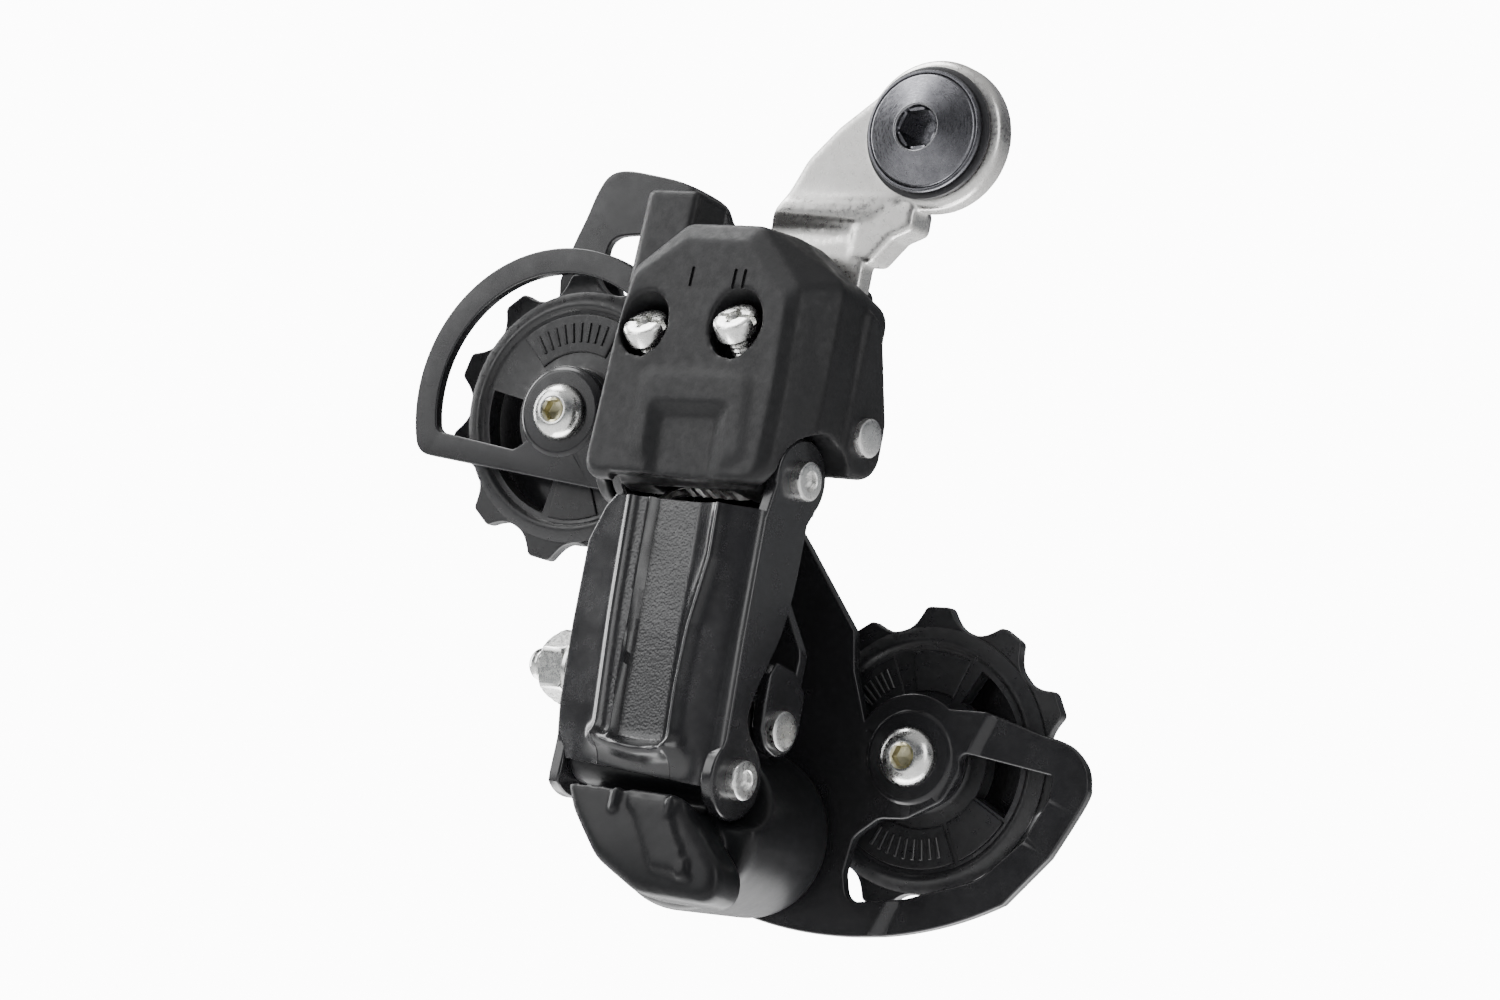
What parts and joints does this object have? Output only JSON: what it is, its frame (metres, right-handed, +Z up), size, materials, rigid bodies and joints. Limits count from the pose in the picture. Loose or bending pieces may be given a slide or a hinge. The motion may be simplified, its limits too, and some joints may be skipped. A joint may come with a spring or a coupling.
{
  "type": "rear derailleur",
  "caption": "Rear bicycle derailleur: hanger bracket, resin housing with limit screws, pivoting parallelogram, sprung cage and two toothed pulleys.",
  "frame": {"origin": "centre line of the mounting bolt, on the bracket face that meets the frame's hanger", "axes": "+X to the front of the bicycle, +Y inward to the wheel along the mounting bolt, +Z up"},
  "size_m": [0.1172, 0.0468, 0.1309],
  "materials": {
    "bracket_steel": "satin nickel plate over pressed steel",
    "bolt_black": "black plated, fine turning marks",
    "body_resin": "fine-grained glass-filled resin",
    "link_paint": "satin black paint over pressed steel",
    "knuckle_gloss": "smooth gloss black",
    "cage_paint": "satin black paint with bright bevels",
    "pulley_resin": "satin black moulded resin",
    "zinc": "bright zinc plate",
    "spring_steel": "oiled spring steel"
  },
  "bodies": {
    "hanger_bolt": {"mounting_bolt": "bolt_black", "bolt_bush": "bolt_black"},
    "b_knuckle": {"bracket_arm": "bracket_steel", "housing": "body_resin", "pin_upper_inner": "zinc"},
    "low_screw": {"limit_screw_low": "zinc"},
    "high_screw": {"limit_screw_high": "zinc"},
    "outer_link": {"outer_link": "link_paint", "pin_upper_outer": "zinc", "pin_lower_outer": "zinc", "return_spring": "spring_steel"},
    "inner_link": {"inner_link": "link_paint", "pin_lower_inner": "zinc", "anchor_bolt": "zinc", "anchor_washer": "zinc"},
    "clamp_nut": {"anchor_nut": "zinc"},
    "p_knuckle": {"p_knuckle": "knuckle_gloss", "tension_spring": "spring_steel"},
    "cage": {"cage_axle": "spring_steel", "cage_outer_plate": "cage_paint", "cage_inner_plate": "cage_paint", "cage_stop_pin": "zinc", "guide_bush": "spring_steel", "tension_bush": "spring_steel", "guide_bolt": "zinc", "tension_bolt": "zinc"},
    "guide_wheel": {"guide_pulley": "pulley_resin"},
    "tension_wheel": {"tension_pulley": "pulley_resin"}
  },
  "joints": [
    {"name": "bracket_pivot", "type": "hinge", "parent": "hanger_bolt", "child": "b_knuckle", "pos_m": [0, 0, 0], "axis": [0, 1, 0], "range_deg": [-10, 35]},
    {"name": "link_pivot", "type": "hinge", "parent": "b_knuckle", "child": "outer_link", "pos_m": [-0.01472, -0.0152, -0.05334], "axis": [0.9775, -0.1289, -0.1671], "range_deg": [0, 38], "stiffness_Nm_per_rad": 0.5, "springref_deg": -68.75, "deforming": ["return_spring"]},
    {"name": "inner_link_pivot", "type": "hinge", "parent": "b_knuckle", "child": "inner_link", "pos_m": [-0.01215, -0.00592, -0.04544], "axis": [0.9775, -0.1289, -0.1671], "range_deg": [0, 38]},
    {"name": "knuckle_pivot", "type": "hinge", "parent": "outer_link", "child": "p_knuckle", "pos_m": [-0.02296, -0.02016, -0.09771], "axis": [0.9775, -0.1289, -0.1671], "range_deg": [-38, 0]},
    {"name": "cage_pivot", "type": "hinge", "parent": "p_knuckle", "child": "cage", "pos_m": [-0.0345, 0, -0.10335], "axis": [0, -1, 0], "range_deg": [0, 140], "stiffness_Nm_per_rad": 0.25, "springref_deg": -85.94, "deforming": ["tension_spring"]},
    {"name": "guide_spin", "type": "hinge", "parent": "cage", "child": "guide_wheel", "pos_m": [-0.0091, 0.01205, -0.0926], "axis": [0, 1, 0], "continuous": true},
    {"name": "tension_spin", "type": "hinge", "parent": "cage", "child": "tension_wheel", "pos_m": [-0.0702, 0.01205, -0.0349], "axis": [0, 1, 0], "continuous": true},
    {"name": "low_screw_turn", "type": "hinge", "parent": "b_knuckle", "child": "low_screw", "pos_m": [-0.04152, -0.01809, -0.02717], "axis": [-0.0306, 0.6967, -0.7167], "range_deg": [-180, 180]},
    {"name": "high_screw_turn", "type": "hinge", "parent": "b_knuckle", "child": "high_screw", "pos_m": [-0.02465, -0.02021, -0.02919], "axis": [-0.0306, 0.6967, -0.7167], "range_deg": [-180, 180]},
    {"name": "clamp_nut_turn", "type": "hinge", "parent": "inner_link", "child": "clamp_nut", "pos_m": [-0.05825, -0.01067, -0.0781], "axis": [-0.9775, 0.1289, 0.1671], "range_deg": [-180, 180]}
  ],
  "couplings": [
    {"joint": "inner_link_pivot", "follows": "link_pivot", "ratio": 1},
    {"joint": "knuckle_pivot", "follows": "link_pivot", "ratio": -1}
  ]
}
